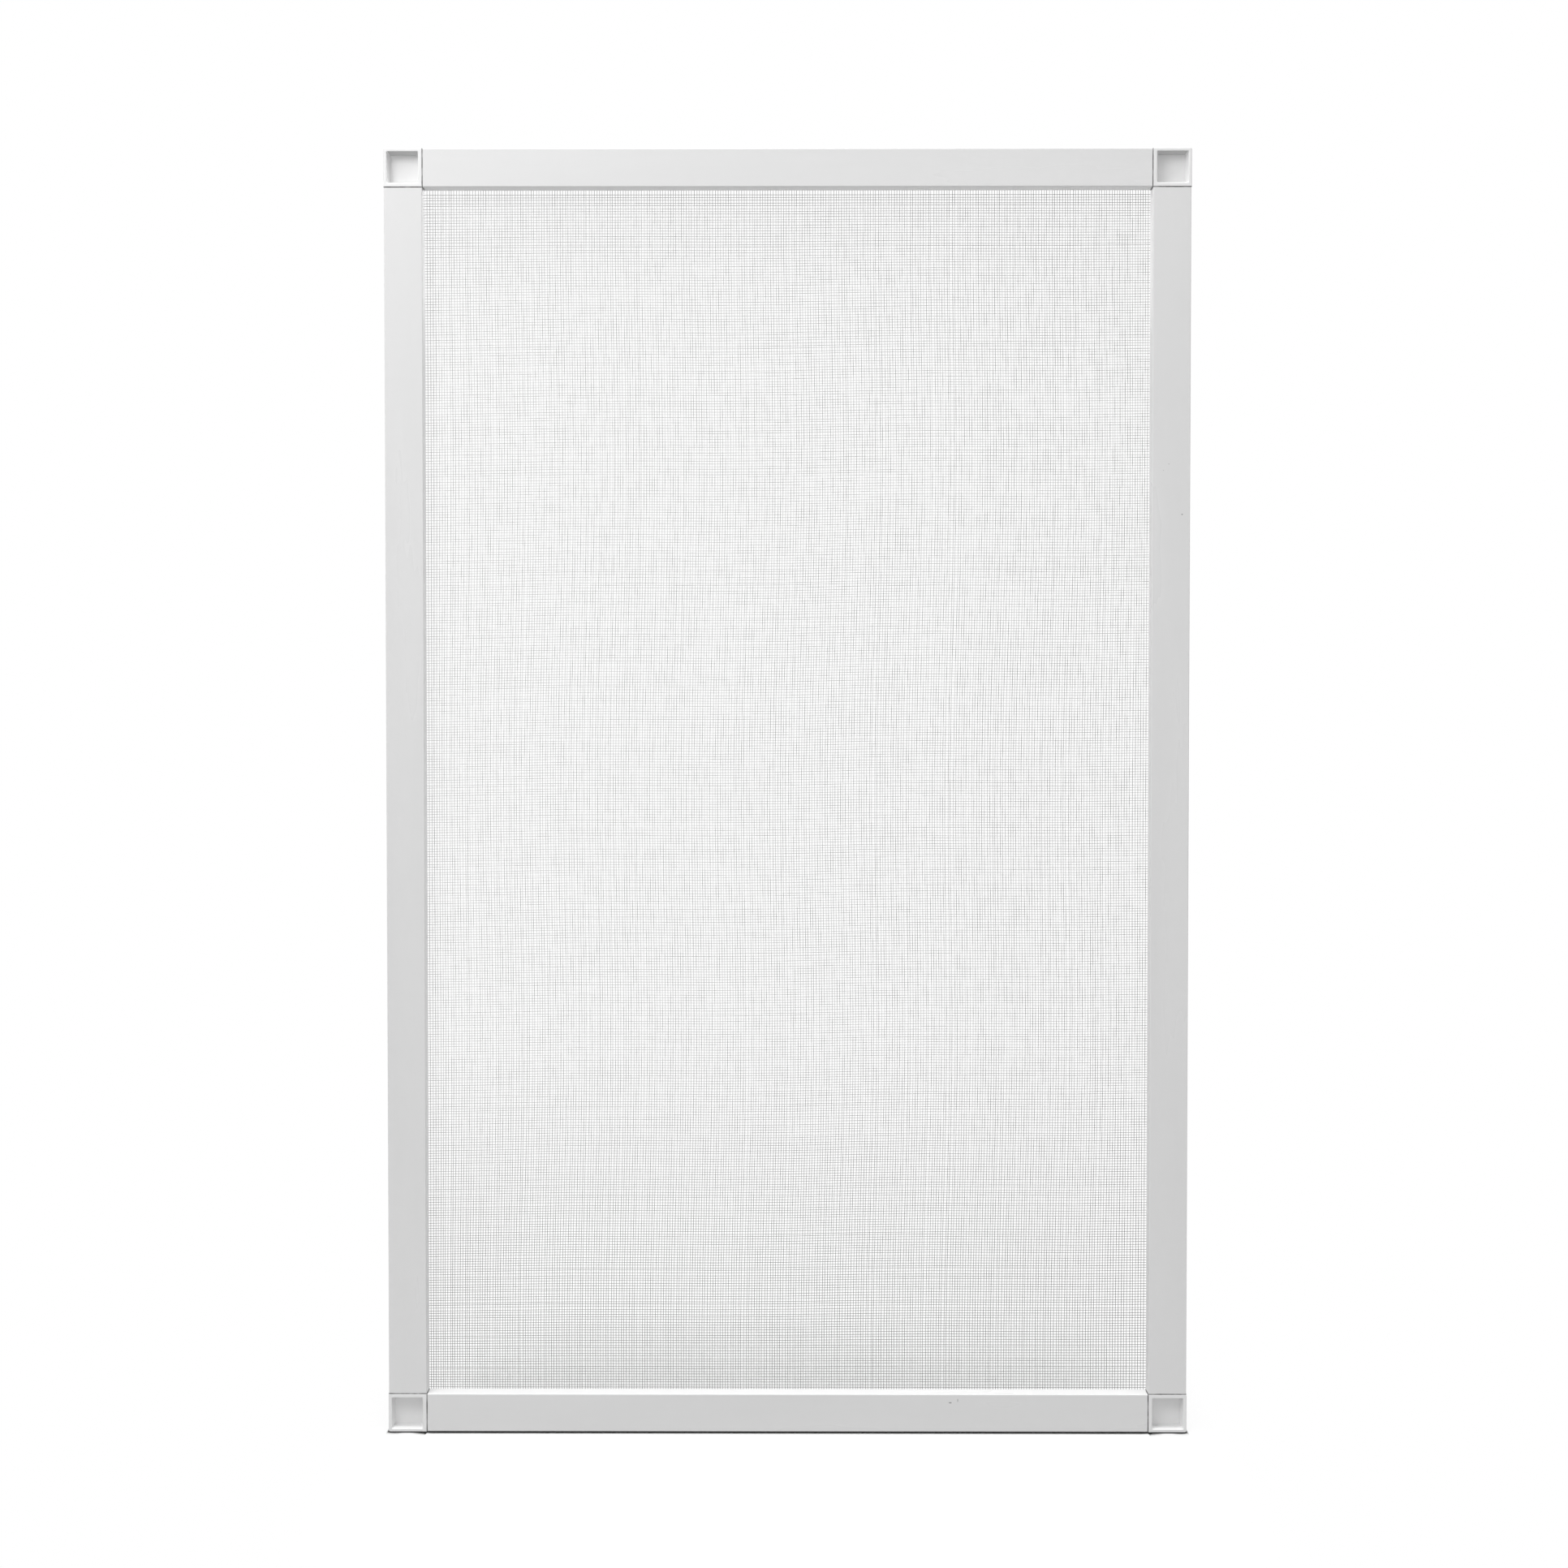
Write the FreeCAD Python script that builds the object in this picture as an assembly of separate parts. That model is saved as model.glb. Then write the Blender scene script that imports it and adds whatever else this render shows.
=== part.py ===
import FreeCAD, Part
import math
import os

# Window screen frame: four hollow aluminium members, four moulded corners that plug into them, and a
# woven insect screen whose edges are held in the members' back channels by ribbed splines.
# Millimetres. X runs along the bottom rail, Z is up, Y runs from the front (negative) to the back.
# The origin is under the middle of the bottom edge, halfway through the depth.

# Overall size, over the corners
frame_width = 500.0
frame_height = 800.0
frame_depth = 11.0

# Members: one extruded section for the rails and the stiles
member_width = 23.7
wall = 1.2
edge_round = 0.6
small_round = 0.4

# Screen: woven from threads of one thickness. A grid of gaps, with bands of threads between them, gives
# the open weave its see-through share with far fewer openings than the real one has
thread = 0.28
warp_pitch = 1.64
weft_pitch = 1.67
gap_columns = 12
gap_rows = 10
band_threads = 5
screen_gap = 0.1
screen_recess = 0.1
screen_trim = 0.5

# Spline, and the bead at the mouth of the channel that keeps it in
spline_diameter = 3.6
spline_ridges = 12
spline_ridge_height = 0.2
spline_gap = 0.1
spline_recess = 0.6
bead = 0.5

# Corners: a block that stands a little proud of the members' outer edges, and two legs
corner_proud = 0.3
seam_gap = 0.3
corner_round = 1.0
pocket_outer_wall = 2.0
pocket_inner_wall = 2.4
pocket_depth = 6.0
pocket_draft = 1.2
pocket_round = 0.7
rim_chamfer = 0.25
leg_length = 38.0
leg_clearance = 0.15
leg_taper = 5.0
leg_tip_inset = 1.5
leg_cores = 3
core_wall = 1.8
core_floor = 2.0

# Worked out from the sizes above
corner_side = member_width + corner_proud
opening_width = frame_width - 2 * corner_side
opening_height = frame_height - 2 * corner_side
screen_thickness = 2 * thread
channel_width = spline_diameter + 2 * (spline_gap + screen_thickness + screen_gap)
channel_depth = spline_diameter + spline_gap + screen_thickness + screen_gap + spline_recess
chamber_width = member_width - channel_width - 3 * wall
chamber_depth = frame_depth - 2 * wall

# Places across the section: "across" is measured inward from the frame's outer edge, "deep" from the front
lip_side = corner_side - wall
partition_side = lip_side - channel_width
channel_floor = frame_depth - channel_depth
screen_back = frame_depth - screen_recess
screen_front = screen_back - screen_thickness
lip_end = screen_front - screen_gap
bead_start = frame_depth - 2 * bead
chamber_start = corner_proud + wall

# The four sides, turned about Y from the bottom one, and the four corners, turned from the bottom left one
half_width = frame_width / 2
half_height = frame_height / 2
sides = {
    "bottom": ("bottom_rail", opening_width, (0, 0), 0),
    "right": ("right_stile", opening_height, (half_width, half_height), -90),
    "top": ("top_rail", opening_width, (0, frame_height), 180),
    "left": ("left_stile", opening_height, (-half_width, half_height), 90),
}
corners = {
    "corner_bottom_left": ((-half_width, 0), 0),
    "corner_bottom_right": ((half_width, 0), -90),
    "corner_top_right": ((half_width, frame_height), 180),
    "corner_top_left": ((-half_width, frame_height), 90),
}


def turned(shape, place, angle):
    """A copy of a shape made at the bottom (left), turned about Y and moved to its place (x, z)."""
    copy = shape.copy()
    spin = FreeCAD.Rotation(FreeCAD.Vector(0, 1, 0), angle)
    copy.Placement = FreeCAD.Placement(FreeCAD.Vector(place[0], 0, place[1]), spin)
    return copy


def section_point(across, deep):
    """A point of a side's cross-section, in the plane across the side's length."""
    return FreeCAD.Vector(0, deep - frame_depth / 2, across)


def front_point(x, z):
    """A point on the front plane of the frame."""
    return FreeCAD.Vector(x, -frame_depth / 2, z)


def rounded_outline(points, in_space):
    """A closed wire through corners given as (a, b, radius), each corner rounded by its own radius."""
    edges = []
    first = None
    last = None
    for index, (a, b, radius) in enumerate(points):
        sharp = in_space(a, b)
        if radius == 0:
            start = end = sharp
            rounding = None
        else:
            before = in_space(*points[index - 1][:2])
            after = in_space(*points[(index + 1) % len(points)][:2])
            to_before = (before - sharp).normalize()
            to_after = (after - sharp).normalize()
            half_angle = to_before.getAngle(to_after) / 2
            start = sharp + to_before * (radius / math.tan(half_angle))
            end = sharp + to_after * (radius / math.tan(half_angle))
            inward = (to_before + to_after).normalize()
            middle = sharp + inward * (radius / math.sin(half_angle) - radius)
            rounding = Part.Arc(start, middle, end).toShape()
        if last is not None:
            edges.append(Part.LineSegment(last, start).toShape())
        if rounding is not None:
            edges.append(rounding)
        if first is None:
            first = start
        last = end
    edges.append(Part.LineSegment(last, first).toShape())
    return Part.Wire(edges)


def box_outline(across, deep, width, depth):
    """The corners of a rectangle in a cross-section, in order."""
    return [
        (across, deep, 0),
        (across + width, deep, 0),
        (across + width, deep + depth, 0),
        (across, deep + depth, 0),
    ]


def along_side(outlines, length):
    """A prism of a cross-section, centred on the side; an outline inside another is a hollow."""
    face = Part.makeFace(outlines, "Part::FaceMakerBullseye")
    face.translate(FreeCAD.Vector(-length / 2, 0, 0))
    return face.extrude(FreeCAD.Vector(length, 0, 0))


def member(length):
    """A rail or stile: a tube with a spline channel, open to the back, along its inner edge."""
    outside = [
        (corner_proud, 0, edge_round),
        (corner_side, 0, edge_round),
        (corner_side, lip_end, small_round),
        (lip_side, lip_end, small_round),
        (lip_side, channel_floor, 0),
        (partition_side, channel_floor, 0),
        (partition_side, bead_start, 0),
        (partition_side + bead, frame_depth - bead, 0),
        (partition_side + bead, frame_depth, 0),
        (corner_proud, frame_depth, edge_round),
    ]
    chamber = box_outline(chamber_start, wall, chamber_width, chamber_depth)
    under_channel = box_outline(partition_side, wall, channel_width, channel_floor - 2 * wall)
    outlines = [rounded_outline(points, section_point) for points in (outside, chamber, under_channel)]
    return along_side(outlines, length - 2 * seam_gap)


def spline(length):
    """A ribbed cord pressed into the channel, with ridges along its length."""
    radius = spline_diameter / 2
    middle_across = (lip_side + partition_side) / 2
    middle_deep = frame_depth - spline_recess - radius
    points = []
    for step in range(2 * spline_ridges):
        angle = math.pi * step / spline_ridges
        reach = radius - (step % 2) * spline_ridge_height
        points.append((middle_across + reach * math.cos(angle), middle_deep + reach * math.sin(angle), 0))
    return along_side([rounded_outline(points, section_point)], length - 2 * seam_gap)


def screen_edge(length):
    """The margin of the screen: over the lip, down into the channel, under the spline and up again."""
    lip_face = lip_side - screen_gap
    partition_face = partition_side + screen_gap
    floor_face = channel_floor + screen_gap
    tail_end = bead_start - screen_trim
    points = [
        (corner_side, screen_front, 0),
        (lip_face, screen_front, 0),
        (lip_face, floor_face, 0),
        (partition_face, floor_face, 0),
        (partition_face, tail_end, 0),
        (partition_face + screen_thickness, tail_end, 0),
        (partition_face + screen_thickness, floor_face + screen_thickness, 0),
        (lip_face - screen_thickness, floor_face + screen_thickness, 0),
        (lip_face - screen_thickness, screen_back, small_round),
        (corner_side, screen_back, 0),
    ]
    return along_side([rounded_outline(points, section_point)], length - 2 * seam_gap)


def ridge_line(span, pitch, gaps, base, top):
    """One face of the weave in section: a ridge for each thread of the bands beside and between the gaps."""
    points = [(-span / 2, base)]
    for band in range(gaps + 1):
        centre = (band / gaps - 0.5) * span
        for index in range(band_threads):
            middle = centre + (index - (band_threads - 1) / 2) * pitch
            if abs(middle) + thread < span / 2:
                points += [(middle - thread, base), (middle, top), (middle + thread, base)]
    return points + [(span / 2, base)]


def gap_starts(span, pitch, gaps):
    """Where each gap of a row or column starts, half a band in from its share of the span."""
    return [(index / gaps - 0.5) * span + band_threads * pitch / 2 for index in range(gaps)]


def weave_gaps():
    """The spaces between the bands of threads, as blocks through the screen."""
    gap_width = opening_width / gap_columns - band_threads * warp_pitch
    gap_height = opening_height / gap_rows - band_threads * weft_pitch
    blocks = []
    for x in gap_starts(opening_width, warp_pitch, gap_columns):
        for z in gap_starts(opening_height, weft_pitch, gap_rows):
            near_end = FreeCAD.Vector(x, screen_front - frame_depth / 2, half_height + z)
            blocks.append(Part.makeBox(gap_width, screen_thickness, gap_height, near_end))
    return blocks


def insect_screen():
    """One thin wall with gaps: warp threads stand out of its front, weft threads out of its back."""
    middle = (screen_front + screen_back) / 2 - frame_depth / 2
    front = screen_front - frame_depth / 2
    back = screen_back - frame_depth / 2
    warp = ridge_line(opening_width, warp_pitch, gap_columns, middle - thread / 2, front)
    weft = ridge_line(opening_height, weft_pitch, gap_rows, middle + thread / 2, back)
    warp_points = [FreeCAD.Vector(x, y, corner_side) for x, y in warp]
    warp_points += [FreeCAD.Vector(x, middle, corner_side) for x in (opening_width / 2, -opening_width / 2)]
    left = -opening_width / 2
    weft_points = [FreeCAD.Vector(left, y, half_height + z) for z, y in weft]
    weft_points += [FreeCAD.Vector(left, middle, z) for z in (frame_height - corner_side, corner_side)]
    warp_face = Part.Face(Part.makePolygon(warp_points + warp_points[:1]))
    weft_face = Part.Face(Part.makePolygon(weft_points + weft_points[:1]))
    woven = warp_face.extrude(FreeCAD.Vector(0, 0, opening_height))
    layers = [weft_face.extrude(FreeCAD.Vector(opening_width, 0, 0))]
    for _, length, place, angle in sides.values():
        layers.append(turned(screen_edge(length), place, angle))
    return woven.fuse(layers).cut(weave_gaps()).removeSplitter()


def leg():
    """A corner's leg along the bottom rail: a bar with a tapered tip, cored from the back."""
    low = chamber_start + leg_clearance
    high = chamber_start + chamber_width - leg_clearance
    root = corner_side - pocket_inner_wall / 2
    tip = corner_side + leg_length
    outline = [
        (root, low, 0),
        (tip - leg_taper, low, 0),
        (tip, low + leg_tip_inset, small_round),
        (tip, high - leg_tip_inset, small_round),
        (tip - leg_taper, high, 0),
        (root, high, 0),
    ]
    front = wall + leg_clearance
    thickness = chamber_depth - 2 * leg_clearance
    face = Part.Face(rounded_outline(outline, front_point))
    face.translate(FreeCAD.Vector(0, front, 0))
    bar = face.extrude(FreeCAD.Vector(0, thickness, 0))
    core_length = (leg_length - leg_taper - (leg_cores + 1) * core_wall) / leg_cores
    core_width = high - low - 2 * core_wall
    core_depth = thickness - core_floor
    core_front = front + core_floor - frame_depth / 2
    for index in range(leg_cores):
        start = corner_side + core_wall + index * (core_length + core_wall)
        near_end = FreeCAD.Vector(start, core_front, low + core_wall)
        bar = bar.cut(Part.makeBox(core_length, core_depth, core_width, near_end))
    return bar


def pocket():
    """The space in the front of a corner: a square that narrows towards its floor."""
    front = -frame_depth / 2
    floor = front + pocket_depth
    low = pocket_outer_wall
    high = corner_side - pocket_inner_wall
    floor_low = low + pocket_draft
    floor_high = high - pocket_draft
    space = Part.makeWedge(low, front, low, floor_low, floor_low, high, floor, high, floor_high, floor_high)
    sloping = [edge for edge in space.Edges if edge.BoundBox.YLength > pocket_depth / 2]
    return space.makeFillet(pocket_round, sloping)


def front_edges(block, of_pocket):
    """The edges in a corner's front plane: those of the pocket's mouth, or those of the block's outside."""
    mouth_middle = (corner_side - pocket_inner_wall + pocket_outer_wall) / 2
    mouth_reach = mouth_middle - pocket_outer_wall + rim_chamfer
    chosen = []
    for edge in block.Edges:
        centre = edge.CenterOfMass
        off_middle = max(abs(centre.x - mouth_middle), abs(centre.z - mouth_middle))
        on_front = edge.BoundBox.YMax < rim_chamfer / 2 - frame_depth / 2
        if on_front and (off_middle < mouth_reach + rim_chamfer / 2) == of_pocket:
            chosen.append(edge)
    return chosen


def corner():
    """The bottom left corner: a block with a pocket in its front, and a leg into each member."""
    square = [
        (0, 0, corner_round),
        (corner_side, 0, 0),
        (corner_side, corner_side, 0),
        (0, corner_side, 0),
    ]
    block = Part.Face(rounded_outline(square, front_point)).extrude(FreeCAD.Vector(0, frame_depth, 0))
    block = block.cut(pocket())
    block = block.makeChamfer(rim_chamfer, front_edges(block, True))
    block = block.makeFillet(edge_round, front_edges(block, False))
    along = leg()
    up = along.mirror(FreeCAD.Vector(0, 0, 0), FreeCAD.Vector(1, 0, -1))
    return block.fuse([along, up]).removeSplitter()


def save(shape, name):
    """Write one piece, and say how large it is."""
    shape.exportStep("parts/" + name + ".step")
    print(name, "solids", len(shape.Solids), "valid", shape.isValid(), "volume", round(shape.Volume))


os.makedirs("parts", exist_ok=True)
for side, (name, length, place, angle) in sides.items():
    save(turned(member(length), place, angle), name)
    save(turned(spline(length), place, angle), "spline_" + side)
one_corner = corner()
for name, (place, angle) in corners.items():
    save(turned(one_corner, place, angle), name)
save(insect_screen(), "insect_screen")
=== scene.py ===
# %% [markdown]
# A window screen is a light metal frame with fine mesh stretched across its back.
# Its four hollow members, four plastic corners, four splines and the mesh were made
# as solids first. This script loads them as a fixed frame, weaves the mesh thread by
# thread, and gives every surface a finish. Nothing in the frame is moved.

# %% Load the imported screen
import math

import bpy
import numpy as np
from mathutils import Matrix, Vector


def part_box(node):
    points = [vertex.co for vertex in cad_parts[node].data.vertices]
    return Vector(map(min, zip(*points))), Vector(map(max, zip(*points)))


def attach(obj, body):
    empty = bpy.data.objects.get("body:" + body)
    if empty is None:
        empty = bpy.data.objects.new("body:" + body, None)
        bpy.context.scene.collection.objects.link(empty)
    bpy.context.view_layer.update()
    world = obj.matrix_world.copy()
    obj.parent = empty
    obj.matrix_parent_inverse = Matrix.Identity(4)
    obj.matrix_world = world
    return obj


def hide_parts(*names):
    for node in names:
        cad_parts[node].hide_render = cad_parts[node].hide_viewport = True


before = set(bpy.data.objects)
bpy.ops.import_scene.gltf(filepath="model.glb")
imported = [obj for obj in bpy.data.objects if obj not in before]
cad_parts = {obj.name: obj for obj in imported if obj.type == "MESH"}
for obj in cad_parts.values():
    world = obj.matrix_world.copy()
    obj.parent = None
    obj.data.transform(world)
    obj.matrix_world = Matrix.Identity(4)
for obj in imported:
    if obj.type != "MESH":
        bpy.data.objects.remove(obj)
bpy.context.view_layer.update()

print("nodes:", sorted(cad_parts))

# %% [markdown]
# Colours are chosen as plain reflectances, so the picture has to show them without
# a film look. The Standard view transform does that: white at strength 1 is white.

# %% Show colours as they are written
scene = bpy.context.scene
scene.view_settings.view_transform = "Standard"
print("view transform:", scene.view_settings.view_transform)

# %% [markdown]
# The photo was taken almost square on, from about 1.3 metres away and a little above
# the middle of the screen. The camera could be aimed by eye, but four outer and four
# inner corners of the frame are sharp in the picture, so its place and focal length
# were solved from those. The lens is also shifted down a little, so the camera tilts
# less and the stiles stay nearly upright.

# %% Place the camera
IMAGE_SIDE_PX = 1932
FOCAL_PX = 2567.6
SENSOR_MM = 36.0
EYE = Vector((0.0019, -1.3011, 0.4607))
AIM = Vector((-0.0021, -0.0055, 0.4309))
LENS_SHIFT_Y = -0.025

camera_data = bpy.data.cameras.new("front_camera")
camera_data.sensor_width = SENSOR_MM
camera_data.lens = SENSOR_MM * FOCAL_PX / IMAGE_SIDE_PX
camera_data.shift_y = LENS_SHIFT_Y
camera_data.clip_start = 0.01
camera = bpy.data.objects.new("front_camera", camera_data)
camera.location = EYE
camera.rotation_mode = "QUATERNION"
camera.rotation_quaternion = (AIM - EYE).to_track_quat("-Z", "Y")
scene.collection.objects.link(camera)
scene.camera = camera
print("lens, mm:", round(camera_data.lens, 2), " distance, m:", round((AIM - EYE).length, 3))

# %% [markdown]
# Several finishes here share the same small effects: a fine grain, a thin film of
# dust and a few handling marks. Each effect is built once as a shader node group,
# with named inputs, and then placed in a material with that material's own values.
# The three helpers below keep the wiring short.

# %% Helpers for node trees
def add_node(tree, kind, **settings):
    """A new node with its properties set and its inputs set or linked by name or number."""
    node = tree.nodes.new(kind)
    inputs = settings.pop("inputs", {})
    for name, value in settings.items():
        setattr(node, name, value)
    for key, value in inputs.items():
        if isinstance(value, bpy.types.NodeSocket):
            tree.links.new(value, node.inputs[key])
        else:
            node.inputs[key].default_value = value
    return node


def start_group(name, inputs, outputs):
    """An empty shader group with its sockets, and its input and output nodes."""
    group = bpy.data.node_groups.new(name, "ShaderNodeTree")
    for label, kind, value in inputs:
        socket = group.interface.new_socket(label, in_out="INPUT", socket_type=kind)
        socket.default_value = value
    for label, kind in outputs:
        group.interface.new_socket(label, in_out="OUTPUT", socket_type=kind)
    return group, group.nodes.new("NodeGroupInput"), group.nodes.new("NodeGroupOutput")


def place_group(tree, group, **inputs):
    """The group as a node in a material; inputs are named with _ for a space."""
    node = tree.nodes.new("ShaderNodeGroup")
    node.node_tree = group
    for label, value in inputs.items():
        node.inputs[label.replace("_", " ")].default_value = value
    return node


print("helpers ready")

# %% [markdown]
# Sprayed paint, moulded plastic and vinyl are never quite smooth. A fine noise gives
# the grain that bends the light, and a broad one gives slow changes of tone. Stretch
# squeezes the pattern, which is how the faint drawn lines along an extrusion are made.

# %% Group: coat grain
VECTOR, FLOAT = "NodeSocketVector", "NodeSocketFloat"
coat_grain, given, result = start_group(
    "coat_grain",
    [("Fine Scale", FLOAT, 1000.0), ("Broad Scale", FLOAT, 30.0), ("Stretch", VECTOR, (1, 1, 1))],
    [("Height", FLOAT), ("Tone", FLOAT)])
place = add_node(coat_grain, "ShaderNodeTexCoord")
squeezed = add_node(coat_grain, "ShaderNodeVectorMath", operation="MULTIPLY",
                    inputs={0: place.outputs["Object"], 1: given.outputs["Stretch"]})
fine = add_node(coat_grain, "ShaderNodeTexNoise",
                inputs={"Vector": squeezed.outputs[0], "Scale": given.outputs["Fine Scale"],
                        "Detail": 2.0, "Roughness": 0.5})
broad = add_node(coat_grain, "ShaderNodeTexNoise",
                 inputs={"Vector": squeezed.outputs[0], "Scale": given.outputs["Broad Scale"],
                         "Detail": 4.0, "Roughness": 0.6})
tone = add_node(coat_grain, "ShaderNodeMapRange", interpolation_type="SMOOTHSTEP",
                inputs={"Value": broad.outputs[0], "From Min": 0.3, "From Max": 0.7})
coat_grain.links.new(fine.outputs[0], result.inputs["Height"])
coat_grain.links.new(tone.outputs[0], result.inputs["Tone"])
print("group:", coat_grain.name, len(coat_grain.nodes), "nodes")

# %% [markdown]
# A screen that has been handled carries a thin film of dust, most of it on surfaces
# that face up. The group reads the direction of the surface in the world and breaks
# the film up with noise.

# %% Group: thin dust
thin_dust, given, result = start_group(
    "thin_dust",
    [("Everywhere", FLOAT, 0.1), ("On Ledges", FLOAT, 0.3), ("Scale", FLOAT, 120.0)],
    [("Mask", FLOAT)])
surface = add_node(thin_dust, "ShaderNodeNewGeometry")
facing = add_node(thin_dust, "ShaderNodeSeparateXYZ", inputs={0: surface.outputs["Normal"]})
upward = add_node(thin_dust, "ShaderNodeMath", operation="MULTIPLY", use_clamp=True,
                  inputs={0: facing.outputs["Z"], 1: given.outputs["On Ledges"]})
film = add_node(thin_dust, "ShaderNodeMath", operation="ADD",
                inputs={0: upward.outputs[0], 1: given.outputs["Everywhere"]})
place = add_node(thin_dust, "ShaderNodeTexCoord")
clumps = add_node(thin_dust, "ShaderNodeTexNoise",
                  inputs={"Vector": place.outputs["Object"], "Scale": given.outputs["Scale"],
                          "Detail": 5.0, "Roughness": 0.65})
broken = add_node(thin_dust, "ShaderNodeMapRange",
                  inputs={"Value": clumps.outputs[0], "From Min": 0.35, "From Max": 0.75})
mask = add_node(thin_dust, "ShaderNodeMath", operation="MULTIPLY", use_clamp=True,
                inputs={0: film.outputs[0], 1: broken.outputs[0]})
thin_dust.links.new(mask.outputs[0], result.inputs["Mask"])
print("group:", thin_dust.name, len(thin_dust.nodes), "nodes")

# %% [markdown]
# A mark is a small stretched blot at one known place. Measuring from its centre in
# units of its half size turns any blot into a ball of radius one, and a little noise
# on that radius keeps its edge from being a perfect oval.

# %% Group: spot mark
spot_mark, given, result = start_group(
    "spot_mark",
    [("Centre", VECTOR, (0, 0, 0)), ("Half Size", VECTOR, (0.001, 0.002, 0.001)),
     ("Ragged", FLOAT, 0.5), ("Strength", FLOAT, 1.0)],
    [("Mask", FLOAT)])
place = add_node(spot_mark, "ShaderNodeTexCoord")
away = add_node(spot_mark, "ShaderNodeVectorMath", operation="SUBTRACT",
                inputs={0: place.outputs["Object"], 1: given.outputs["Centre"]})
in_sizes = add_node(spot_mark, "ShaderNodeVectorMath", operation="DIVIDE",
                    inputs={0: away.outputs[0], 1: given.outputs["Half Size"]})
radius = add_node(spot_mark, "ShaderNodeVectorMath", operation="LENGTH",
                  inputs={0: in_sizes.outputs[0]})
edge_noise = add_node(spot_mark, "ShaderNodeTexNoise",
                      inputs={"Vector": in_sizes.outputs[0], "Scale": 1.7, "Detail": 3.0})
edge = add_node(spot_mark, "ShaderNodeMath", operation="MULTIPLY_ADD",
                inputs={0: edge_noise.outputs[0], 1: given.outputs["Ragged"],
                        2: radius.outputs["Value"]})
inside = add_node(spot_mark, "ShaderNodeMapRange", interpolation_type="SMOOTHSTEP",
                  inputs={"Value": edge.outputs[0], "From Min": 1.25, "From Max": 0.75})
mask = add_node(spot_mark, "ShaderNodeMath", operation="MULTIPLY", use_clamp=True,
                inputs={0: inside.outputs[0], 1: given.outputs["Strength"]})
spot_mark.links.new(mask.outputs[0], result.inputs["Mask"])
print("group:", spot_mark.name, len(spot_mark.nodes), "nodes")

# %% [markdown]
# Where two pieces butt together, dirt settles in the crack and draws a thin dark line.
# The group measures how far a point is from the planes of the joints, which lie at a
# fixed distance either side of the middle of the screen, and breaks the line up so
# that it isn't equally dark all along.

# %% Group: joint grime
JOINT_X, JOINT_Z, MIDDLE_HEIGHT = 0.22585, 0.37585, 0.4
joint_grime, given, result = start_group(
    "joint_grime",
    [("Half Width", FLOAT, JOINT_X), ("Half Height", FLOAT, JOINT_Z),
     ("Middle Height", FLOAT, MIDDLE_HEIGHT), ("Reach", FLOAT, 0.0005), ("Strength", FLOAT, 0.8)],
    [("Mask", FLOAT)])
place = add_node(joint_grime, "ShaderNodeTexCoord")
where = add_node(joint_grime, "ShaderNodeSeparateXYZ", inputs={0: place.outputs["Object"]})


def off_plane(coordinate, plane):
    """How far a coordinate is from plus or minus a plane."""
    size = add_node(joint_grime, "ShaderNodeMath", operation="ABSOLUTE", inputs={0: coordinate})
    gap = add_node(joint_grime, "ShaderNodeMath", operation="SUBTRACT",
                   inputs={0: size.outputs[0], 1: plane})
    either_side = add_node(joint_grime, "ShaderNodeMath", operation="ABSOLUTE",
                           inputs={0: gap.outputs[0]})
    return either_side.outputs[0]


height = add_node(joint_grime, "ShaderNodeMath", operation="SUBTRACT",
                  inputs={0: where.outputs["Z"], 1: given.outputs["Middle Height"]})
nearest = add_node(joint_grime, "ShaderNodeMath", operation="MINIMUM",
                   inputs={0: off_plane(where.outputs["X"], given.outputs["Half Width"]),
                           1: off_plane(height.outputs[0], given.outputs["Half Height"])})
share = add_node(joint_grime, "ShaderNodeMath", operation="DIVIDE",
                 inputs={0: nearest.outputs[0], 1: given.outputs["Reach"]})
line = add_node(joint_grime, "ShaderNodeMapRange", interpolation_type="SMOOTHSTEP",
                inputs={"Value": share.outputs[0], "From Min": 1.0, "From Max": 0.4})
patches = add_node(joint_grime, "ShaderNodeTexNoise",
                   inputs={"Vector": place.outputs["Object"], "Scale": 220.0, "Detail": 3.0})
uneven = add_node(joint_grime, "ShaderNodeMapRange",
                  inputs={"Value": patches.outputs[0], "From Min": 0.35, "From Max": 0.62,
                          "To Min": 0.35})
dark = add_node(joint_grime, "ShaderNodeMath", operation="MULTIPLY",
                inputs={0: line.outputs[0], 1: uneven.outputs[0]})
mask = add_node(joint_grime, "ShaderNodeMath", operation="MULTIPLY", use_clamp=True,
                inputs={0: dark.outputs[0], 1: given.outputs["Strength"]})
joint_grime.links.new(mask.outputs[0], result.inputs["Mask"])
print("group:", joint_grime.name, len(joint_grime.nodes), "nodes")

# %% [markdown]
# Every finish starts from the same plan: one Principled shader, a base colour that a
# tone moves a little, a roughness that follows the same tone, and a bump from the fine
# grain. A helper lays that out; each finish then adds what is its own. Another one puts
# a finished material on the pieces that it belongs to.

# %% Helpers for coated surfaces
def grey(level):
    return (level, level, level, 1.0)


def mix_colour(tree, share, first, second, blend="MIX"):
    """A colour that goes from first to second as share goes from 0 to 1."""
    mix = tree.nodes.new("ShaderNodeMix")
    mix.data_type, mix.blend_type = "RGBA", blend
    wanted = {"Factor": share, 6: first, 7: second}
    for key, value in wanted.items():
        if isinstance(value, bpy.types.NodeSocket):
            tree.links.new(value, mix.inputs[key])
        else:
            mix.inputs[key].default_value = value
    return mix.outputs[2]


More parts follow.
